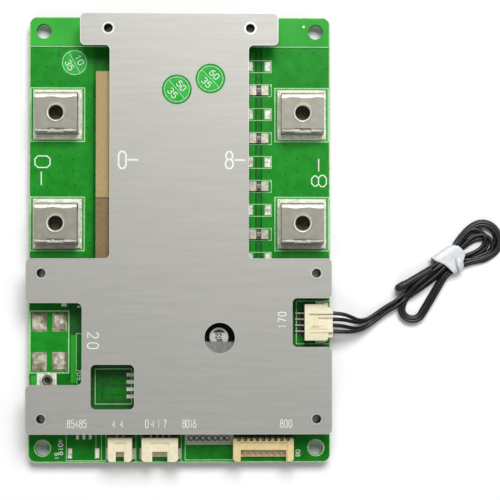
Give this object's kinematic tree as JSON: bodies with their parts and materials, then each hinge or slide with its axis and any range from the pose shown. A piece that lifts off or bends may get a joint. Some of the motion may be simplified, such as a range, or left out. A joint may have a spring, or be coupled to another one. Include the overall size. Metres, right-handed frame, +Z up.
{
  "type": "battery management board",
  "caption": "Flat battery management module: circuit board under a stepped aluminium heat spreader, with folded screw terminals, side-entry connectors and a coiled sensor lead.",
  "frame": {"origin": "middle of the circuit board in X and Y, on the plane that the screw heads under the board stand on", "axes": "+X across the board towards the sensor connector, +Y along the board towards the broad flange of the heat spreader, +Z up from the screw heads through the board and the plate"},
  "size_m": [0.1589, 0.148, 0.0134],
  "materials": {
    "board_laminate": "green solder mask, semi-gloss",
    "anodised_plate": "fine matt blasted",
    "standoff_steel": "zinc plated",
    "screw_steel": "zinc plated",
    "terminal_metal": "tin plated, satin",
    "solder": "smooth solder",
    "shunt_metal": "tinned ends, black coated middle",
    "moulding_black": "matt moulding compound",
    "insulation_tan": "matt silicone cloth",
    "insulation_brown": "matt silicone cloth",
    "gap_pad_grey": "matt silicone pad",
    "can_aluminium": "bright drawn can",
    "header_cream": "satin nylon",
    "header_tan": "satin nylon",
    "pin_tin": "tin plated",
    "plug_white": "satin nylon",
    "wire_black": "satin insulation",
    "tie_white": "soft plastic strip",
    "sleeve_black": "shrink sleeve"
  },
  "bodies": {
    "root": {"circuit_board": "board_laminate", "heat_spreader_plate": "anodised_plate", "plate_standoffs": "standoff_steel", "plate_screws": "screw_steel", "terminal_charge_upper": "terminal_metal", "terminal_charge_lower": "terminal_metal", "terminal_battery_upper": "terminal_metal", "terminal_battery_lower": "terminal_metal", "terminal_solder": "solder", "shunt_resistors": "shunt_metal", "spare_shunt_solder": "solder", "charge_transistors": "moulding_black", "discharge_transistors": "moulding_black", "insulation_sheet_upper": "insulation_tan", "insulation_sheet_lower": "insulation_brown", "discharge_heat_sheet": "insulation_tan", "can_capacitor": "can_aluminium", "can_capacitor_base": "moulding_black", "grey_gap_pad": "gap_pad_grey", "header_2pin_housing": "header_cream", "header_2pin_contacts": "pin_tin", "header_4pin_housing": "header_cream", "header_4pin_contacts": "pin_tin", "header_9pin_housing": "header_tan", "header_9pin_contacts": "pin_tin", "sensor_header_housing": "header_cream", "sensor_header_contacts": "pin_tin", "header_fixing_tabs": "pin_tin", "sensor_plug": "plug_white", "sensor_plug_contacts": "pin_tin", "sensor_wire_1": "wire_black", "sensor_wire_2": "wire_black", "sensor_wire_3": "wire_black", "sensor_wire_4": "wire_black", "sensor_hank": "wire_black", "hank_tie": "tie_white", "sensor_bead_1": "sleeve_black", "sensor_bead_2": "sleeve_black", "heater_pad_solder": "solder", "wire_eyelet": "solder", "window_pad_solder": "solder", "spare_header_solder": "solder", "microcontroller": "moulding_black", "cell_monitor_chip": "moulding_black", "interface_chips": "moulding_black", "balance_resistors": "moulding_black"}
  },
  "joints": []
}
